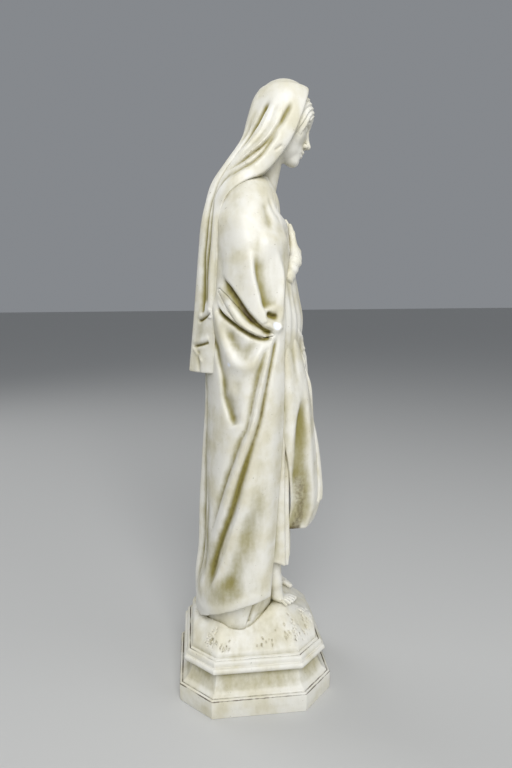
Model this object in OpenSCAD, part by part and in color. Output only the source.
// Standing Madonna on a stepped octagonal base, cast in plaster.
// The figure faces -Y, its right hand is at -X, and the base stands on Z = 0.
// Castings with deep undercuts come from moulds of their own and are luted together
// round an iron armature, so each casting is a node of its own.

/* [Base] */
// Length of the plinth from front to back
plinth_l = 204; // [200:1:210]
// Width of the plinth from side to side
plinth_w = 196; // [192:1:206]
// Leg of the plinth's cut corners
plinth_cut = 41; // [36:1:46]
// Height of the plinth's upright face
plinth_face_h = 25; // [20:1:28]
// Height of the joint between the plinth and the mound
plinth_h = 52; // [50:1:54]
// How far the moulded slab stands inside the plinth's edge
slab_inset = 7; // [5:0.5:9]
// Diameter of the core hollows in the two base castings
core_d = 66; // [50:2:76]

/* [Figure] */
// Height of the statue from the floor to the crown of the veil
total_h = 800; // [797:1:806]
// Wall thickness of the robe castings
robe_wall = 8; // [6:0.5:10]
// Thickness of the veil's cloth
cloth = 7; // [6:0.5:8]
// Height of the mantle's hem at the back
hem_back_z = 128; // [124:1:134]
// Height of the mantle's hem at the front
hem_front_z = 146; // [140:1:150]
// Height of the joint between the skirt castings and the upper castings
waist_z = 478; // [470:1:486]

/* [Armature] */
// Diameter of the upright iron rod
rod_d = 8; // [6:1:10]
// Diameter of the dowels in the neck and the wrists
dowel_d = 5; // [4:0.5:6]
// Width of the wooden battens in the foot of the plinth
batten_w = 24; // [18:1:30]
// Thickness of the wooden battens
batten_t = 12; // [10:1:14]

/* [Hidden] */

gap = 0.3;
eps = 0.02;
far = 400;
ring_fn = 32;
small_fn = 16;

plaster = "wheat";
iron = "dimgray";
timber = "burlywood";
hemp = "tan";

// The plinth's hollow neck, as steps of height above the upright face and distance in.
neck_h = plinth_h - plinth_face_h;
neck_steps = [[0, 0], [0.1, 6], [0.3, 12], [0.6, 17], [1, 19]];
// The slab's mouldings, as steps of height above the joint and distance in from its edge.
slab_steps = [[0, 5], [4, 1], [6, 0], [10, 0], [12, 2.5], [14, 4.5], [18.5, 6]];
slab_top_z = plinth_h + 18.5;
slab_top_in = slab_inset + 6;

// Forms are stacks of oval rings: height, middle in Y, half width, half depth.
mound_rings = [
    [76, 0, 84, 88], [88, -1, 80, 85], [100, -8, 68, 72], [107, -20, 54, 54],
    [112, -34, 34, 30]
];
tunic_rings = [
    [74, 8, 60, 54], [130, 6, 60, 53], [200, 0, 58, 54], [285, -1, 60, 53],
    [370, -3, 66, 51], [440, -4, 70, 50], [500, -5, 71, 48], [560, -3, 70, 40],
    [600, -3, 66, 38], [640, -2, 54, 34], [664, -4, 34, 27]
];
mantle_rings = [
    [110, 14, 77, 60], [140, 14, 76, 60], [200, 9, 75, 58], [285, 6, 78, 58],
    [370, 2, 83, 58], [440, -1, 86, 59], [500, -3, 88, 59], [560, -2, 86, 56],
    [600, 0, 81, 53], [640, 2, 70, 47], [668, 1, 50, 36]
];
front_rings = [
    [200, -32, 46, 44], [250, -46, 50, 52], [300, -45, 53, 52], [392, -38, 57, 47],
    [487, -31, 58, 41], [540, -28, 52, 36], [568, -27, 40, 31]
];
hood_rings = [
    [640, 16, 66, 44], [655, 13, 62, 40], [679, 2, 54, 39], [703, -13, 48, 37],
    [727, -27, 45, 34], [751, -36, 43, 36], [775, -43, 37, 34], [792, -45, 26, 23],
    [total_h, -45, 9, 8]
];
veil_rings = [
    [437, 25, 50, 54], [490, 22, 55, 51], [528, 20, 58, 49], [580, 16, 60, 48],
    [617, 14, 62, 46], [655, 10, 62, 42]
];
// The veil's fall keeps to the back of this line.
veil_fall_y = 30;
// Side view of the space in front of the hood's edge, as Y and Z.
hood_edge = [
    [-72, total_h], [-76, 786], [-64, 735], [-45, 695], [-14, 671], [-14, 600],
    [-150, 600], [-150, total_h + 20], [-72, total_h + 20]
];
// Side views of the space that the hair leaves free at the face and under the hood.
hairline = [[-150, 768], [-78, 752], [-45, 728], [-20, 700], [-150, 600]];
hood_cover = [[-70, 820], [-72, 786], [-60, 735], [-40, 695], [60, 640], [60, 820]];

skull = [0, -42, 752];
jaw = [0, -50, 738];
chin = [0, -55, 705];
nape = [0, -34, 712];
neck_low = [0, -12, 640];
neck_r = 17;

// Points of the right arm; the left arm is its mirror image, nearer the chest.
elbow = [-74, -18, 512];
wrist = [-30, -57, 578];
knuckles = [-9, -58, 602];
fingertips = [12, -53, 629];
left_hand_y = 7;
finger_pitch = 5;

heel = [-27, -44, 121];
toe_root = [-29, -58, 113];
toe_pitch = 5.2;

// The cloth of one sleeve hangs in a loop under the elbow.
sleeve_loop = [[-80, -24, 492], [-81, -6, 460], [-81, 18, 452], [-77, 36, 484], [-70, 44, 540]];
sleeve_loop_r = 12;

batten_z = 10;
batten_half_l = plinth_l / 2 - 18;
batten_half_w = plinth_w / 2 - 18;
washer_t = 2;
nut_t = 6;
rod_bottom = 1;
rod_top = 612;
bar_z = 556;
bar = [108, 16, 4];
core_top_z = 92;
dowel_y = -12;
dowel_span = [600, 676];
wad_lower = [210, 236];
wad_upper = [592, 617];

// The octagon of the base, drawn inset inside the plinth's edge.
module octagon(inset) {
    hx = plinth_w / 2 - inset;
    hy = plinth_l / 2 - inset;
    cut = plinth_cut - 0.59 * inset;
    polygon([
        [hx, hy - cut], [hx - cut, hy], [-hx + cut, hy], [-hx, hy - cut],
        [-hx, -hy + cut], [-hx + cut, -hy], [hx - cut, -hy], [hx, -hy + cut]
    ]);
}

// A stack of octagons, each step a height and an inset.
module stepped(steps, start_z, start_inset, rise = 1) {
    for (i = [0 : len(steps) - 2])
        hull()
            for (end = [0, 1])
                translate([0, 0, start_z + steps[i + end][0] * rise - end * eps])
                    linear_extrude(eps) octagon(start_inset + steps[i + end][1]);
}

// One oval ring of a form, made smaller by inset. It is a thin plate that stands on its
// own height, or with end = 1 hangs from it, so that stacked hulls meet face to face.
module ring(r, inset, end = 0) {
    translate([0, r[1], r[0] - end * eps])
        linear_extrude(eps)
            scale([(r[2] - inset) / 10, (r[3] - inset) / 10])
                circle(10, $fn = ring_fn);
}

// A closed form through a stack of rings.
module form(rings, inset = 0) {
    for (i = [0 : len(rings) - 2])
        hull() {
            ring(rings[i], inset);
            ring(rings[i + 1], inset, 1);
        }
}

// The space from one height to another.
module band(low, high) {
    translate([-far / 2, -far / 2, low]) cube([far, far, high - low]);
}

// A side view, as Y and Z, carried right across the figure.
module across(outline) {
    rotate([90, 0, 90]) linear_extrude(far, center = true) polygon(outline);
}

// Puts children drawn along Z on the line from one point to another.
module on_line(from, to) {
    v = to - from;
    translate(from) rotate([0, acos(v[2] / norm(v)), atan2(v[1], v[0])]) children();
}

// A round-ended bar between two points.
module limb(from, to, r_from, r_to, sides = small_fn) {
    hull() {
        translate(from) sphere(r_from, $fn = sides);
        translate(to) sphere(r_to, $fn = sides);
    }
}

// Draws its children for the right side, or their mirror image for the left.
module on_side(left) {
    mirror([left ? 1 : 0, 0, 0]) children();
}

// A point of the right arm, moved back for the hand that lies under the other.
function arm(p, left) = p + [0, left ? left_hand_y : 0, 0];

module rod_bore() {
    translate([0, 0, -1]) cylinder(d = rod_d + 2 * gap, h = rod_top + 2, $fn = 48);
}

// Round hollow left by the core of the mould.
module core(low, high) {
    translate([0, 0, low]) cylinder(d = core_d, h = high - low, $fn = 64);
}

module mound_form() {
    hull() {
        translate([0, 0, slab_top_z]) linear_extrude(eps) octagon(slab_top_in);
        ring(mound_rings[0], 0, 1);
    }
    form(mound_rings);
}

// Everything below the sloping hem of the mantle.
module below_hem() {
    front = [-90, hem_front_z];
    back = [80, hem_back_z];
    across([front, back, [80, 0], [-90, 0]]);
}

// The long V between the mantle's two front edges.
module parting() {
    rotate([90, 0, 0])
        linear_extrude(120)
            polygon([[-58, waist_z - 1], [-20, 640], [-14, 700], [14, 700], [20, 640],
                [58, waist_z - 1]]);
}

module wrist_pin_line(left, d, h) {
    on_side(left)
        on_line(arm(wrist, left), arm(elbow, left))
            translate([0, 0, -h / 3]) cylinder(d = d, h = h, $fn = 48);
}

module wrist_pin_hole(left) {
    wrist_pin_line(left, dowel_d + 2 * gap, 38);
}

module head_form(grow = 0) {
    hull() {
        translate(skull) sphere(33 + grow, $fn = ring_fn);
        translate(jaw) sphere(28 + grow, $fn = ring_fn);
    }
    hull() {
        translate(jaw) sphere(28 + grow, $fn = ring_fn);
        translate(chin) sphere(11 + grow, $fn = ring_fn);
    }
}

module neck_form(grow = 0) {
    limb(nape, neck_low, neck_r + grow, neck_r + 2 + grow, ring_fn);
}

module plinth() {
    color(plaster)
        difference() {
            union() {
                linear_extrude(plinth_face_h) octagon(0);
                stepped(neck_steps, plinth_face_h, 0, neck_h);
            }
            core(-1, 40);
            batten_channels();
            rod_bore();
        }
}

// Channels in the plinth's underside for the two battens.
module batten_channels() {
    depth = batten_z + batten_t + 1;
    translate([-batten_w / 2 - gap, -batten_half_l - gap, -1])
        cube([batten_w + 2 * gap, 2 * (batten_half_l + gap), depth]);
    translate([-batten_half_w - gap, -batten_w / 2 - gap, -1])
        cube([2 * (batten_half_w + gap), batten_w + 2 * gap, depth]);
}

module mound() {
    color(plaster)
        difference() {
            union() {
                stepped(slab_steps, plinth_h, slab_inset);
                mound_form();
            }
            core(plinth_h - 1, core_top_z);
            rod_bore();
        }
}

module tunic_skirt() {
    color(plaster)
        difference() {
            intersection() {
                form(tunic_rings);
                band(0, waist_z - 20);
            }
            form(tunic_rings, robe_wall);
            mound_form();
        }
}

module bodice() {
    color(plaster)
        difference() {
            intersection() {
                form(tunic_rings);
                band(waist_z - 20, 664);
            }
            form(tunic_rings, robe_wall);
            neck_form(gap);
            wrist_pin_hole(false);
            wrist_pin_hole(true);
        }
}

module mantle_skirt() {
    color(plaster)
        difference() {
            intersection() {
                form(mantle_rings);
                band(0, waist_z);
            }
            form(tunic_rings);
            below_hem();
            translate([-far / 2, -far - 26, 0]) cube([far, far, waist_z + 1]);
        }
}

module mantle_shoulders() {
    color(plaster)
        difference() {
            intersection() {
                form(mantle_rings);
                band(waist_z, 668);
            }
            form(tunic_rings);
            neck_form(3);
            parting();
            wrist_pin_hole(false);
            wrist_pin_hole(true);
        }
}

// The mantle's left half, drawn across the lap and tucked under the right wrist.
module mantle_front() {
    hem = [[-80, 0], [-80, 232], [-30, 208], [20, 285], [80, 350], [80, 0]];
    color(plaster)
        difference() {
            form(front_rings);
            form(tunic_rings);
            form(mantle_rings);
            rotate([90, 0, 0]) linear_extrude(far, center = true) polygon(hem);
            for (left = [false, true]) cuff_form(left, gap);
        }
}

module sleeve_fold() {
    color(plaster)
        difference() {
            union() {
                hull() {
                    translate([-82, -24, 502]) sphere(11, $fn = ring_fn);
                    translate([-80, 20, 500]) sphere(12, $fn = ring_fn);
                    translate([-78, 8, 570]) sphere(12, $fn = ring_fn);
                    translate([-66, -38, 560]) sphere(10, $fn = ring_fn);
                }
                for (i = [0 : len(sleeve_loop) - 2])
                    limb(sleeve_loop[i], sleeve_loop[i + 1], sleeve_loop_r, sleeve_loop_r, ring_fn);
            }
            form(mantle_rings);
            form(front_rings);
            parting();
            cuff_form(false, gap);
        }
}

module right_sleeve_fold() {
    sleeve_fold();
}

module left_sleeve_fold() {
    on_side(true) sleeve_fold();
}

module veil_hood() {
    color(plaster)
        difference() {
            intersection() {
                form(hood_rings);
                band(655, total_h + 1);
            }
            translate([0, 0, -cloth]) form(hood_rings, cloth);
            form(mantle_rings);
            head_form(3 + gap);
            across(hood_edge);
        }
}

module veil_fall() {
    color(plaster)
        difference() {
            form(veil_rings);
            form(mantle_rings);
            translate([-far / 2, veil_fall_y - far, 0]) cube([far, far, far * 2]);
        }
}

// The head leans forward and looks down.
module head() {
    color(plaster)
        difference() {
            union() {
                head_form();
                neck_form();
                limb([0, -70, 732], [0, -74, 714], 2.5, 4);
            }
            translate([0, dowel_y, 0]) cylinder(d = dowel_d + 2 * gap, h = dowel_span[1] + 1, $fn = 48);
        }
}

module hair() {
    color(plaster)
        difference() {
            hull() {
                translate(skull) sphere(36, $fn = ring_fn);
                translate(jaw + [0, -4, 4]) sphere(30, $fn = ring_fn);
            }
            head_form();
            across(hairline);
            across(hood_cover);
        }
}

// Sleeve of the tunic where it closes round the wrist.
module cuff_form(left, grow = 0) {
    on_side(left)
        on_line(arm(wrist, left), arm(elbow, left))
            hull() {
                translate([0, 0, 2 - grow]) cylinder(r = 10 + grow, h = eps, $fn = ring_fn);
                translate([0, 0, 36]) cylinder(r = 15 + grow, h = eps, $fn = ring_fn);
            }
}

module cuff(left) {
    color(plaster)
        difference() {
            cuff_form(left);
            form(tunic_rings);
            form(mantle_rings);
            wrist_pin_hole(left);
        }
}

module right_cuff() {
    cuff(false);
}

module left_cuff() {
    cuff(true);
}

// The hand of one arm as a form: the palm, four fingers and a thumb.
module hand_form(left) {
    w = arm(wrist, left);
    p = arm(knuckles, left);
    t = arm(fingertips, left);
    on_side(left) {
        hull() {
            translate(w) sphere(7, $fn = small_fn);
            translate(p + [-7, 0, 5]) sphere(5, $fn = small_fn);
            translate(p + [7, 0, -6]) sphere(5, $fn = small_fn);
        }
        for (i = [0 : 3]) {
            along_x = (i - 1.5) * finger_pitch;
            limb(p + [along_x, 0, -0.8 * along_x], t + [along_x, 0, -1.1 * along_x], 3.6, 3);
        }
        limb(w + [4, 0, 10], p + [-12, -1, 20], 4.2, 3.4);
    }
}

module hand(left) {
    color(plaster)
        difference() {
            hand_form(left);
            if (left) hand_form(false);
            form(tunic_rings);
            wrist_pin_hole(left);
            cuff_form(left, gap);
        }
}

module right_hand() {
    hand(false);
}

module left_hand() {
    hand(true);
}

// One bare foot, from the instep under the tunic's hem to the five toes.
module foot(left) {
    color(plaster)
        on_side(left)
            difference() {
                union() {
                    hull() {
                        translate(heel) sphere(13, $fn = ring_fn);
                        translate(toe_root + [-8, 2, 0]) sphere(6, $fn = small_fn);
                        translate(toe_root + [8, 2, 1]) sphere(7, $fn = small_fn);
                    }
                    for (i = [0 : 4])
                        limb(toe_root + [(2 - i) * toe_pitch, 1, -0.4 * i],
                            toe_root + [(2 - i) * toe_pitch, -7 + 1.4 * i, -0.8 * i],
                            4.4 - 0.4 * i, 3.8 - 0.35 * i);
                }
                mound_form();
                form(tunic_rings);
            }
}

module right_foot() {
    foot(false);
}

module left_foot() {
    foot(true);
}

// The long batten has a half-lap on top where the short one crosses it.
module batten_long() {
    color(timber)
        difference() {
            translate([-batten_w / 2, -batten_half_l, batten_z])
                cube([batten_w, 2 * batten_half_l, batten_t]);
            translate([-batten_w, -batten_w / 2, batten_z + batten_t / 2])
                cube([2 * batten_w, batten_w, batten_t]);
            rod_bore();
        }
}

module batten_short() {
    color(timber)
        difference() {
            translate([-batten_half_w, -batten_w / 2, batten_z])
                cube([2 * batten_half_w, batten_w, batten_t]);
            translate([-batten_w / 2, -batten_w, batten_z - batten_t / 2])
                cube([batten_w, 2 * batten_w, batten_t]);
            rod_bore();
        }
}

module armature_rod() {
    color(iron) translate([0, 0, rod_bottom]) cylinder(d = rod_d, h = rod_top - rod_bottom, $fn = 48);
}

// A flat collar on the rod, round or six-sided.
module collar(low, thickness, across_d, sides) {
    translate([0, 0, low])
        difference() {
            cylinder(d = across_d, h = thickness, $fn = sides);
            translate([0, 0, -1]) cylinder(d = rod_d + 2 * gap, h = thickness + 2, $fn = 48);
        }
}

// The nut below the battens draws the rod tight.
module rod_nut() {
    color(iron) collar(batten_z - washer_t - nut_t, nut_t, 2 * rod_d, 6);
}

module rod_washer() {
    color(iron) collar(batten_z - washer_t, washer_t, 3 * rod_d, 48);
}

// A flat iron bar across the rod, which carries the weight of the arms.
module shoulder_bar() {
    color(iron)
        difference() {
            translate([-bar[0] / 2, -bar[1] / 2, bar_z]) cube(bar);
            rod_bore();
        }
}

module neck_dowel() {
    color(iron)
        translate([0, dowel_y, dowel_span[0]])
            cylinder(d = dowel_d, h = dowel_span[1] - dowel_span[0], $fn = 48);
}

module right_wrist_pin() {
    color(iron) wrist_pin_line(false, dowel_d, 36);
}

module left_wrist_pin() {
    color(iron) wrist_pin_line(true, dowel_d, 36);
}

// Plaster-soaked hemp packed between the rod and the casting.
module hemp_wad(span, r) {
    color(hemp)
        difference() {
            translate([0, -2, span[0]]) cylinder(r = r, h = span[1] - span[0], $fn = 64);
            rod_bore();
            translate([0, dowel_y, dowel_span[0]]) cylinder(d = dowel_d + 2 * gap, h = 99, $fn = 48);
        }
}

module hemp_wad_lower() {
    hemp_wad(wad_lower, 42);
}

module hemp_wad_upper() {
    hemp_wad(wad_upper, 26);
}

plinth();
mound();
tunic_skirt();
bodice();
mantle_skirt();
mantle_shoulders();
mantle_front();
right_sleeve_fold();
left_sleeve_fold();
veil_hood();
veil_fall();
head();
hair();
right_cuff();
left_cuff();
right_hand();
left_hand();
right_foot();
left_foot();
batten_long();
batten_short();
armature_rod();
rod_nut();
rod_washer();
shoulder_bar();
neck_dowel();
right_wrist_pin();
left_wrist_pin();
hemp_wad_lower();
hemp_wad_upper();
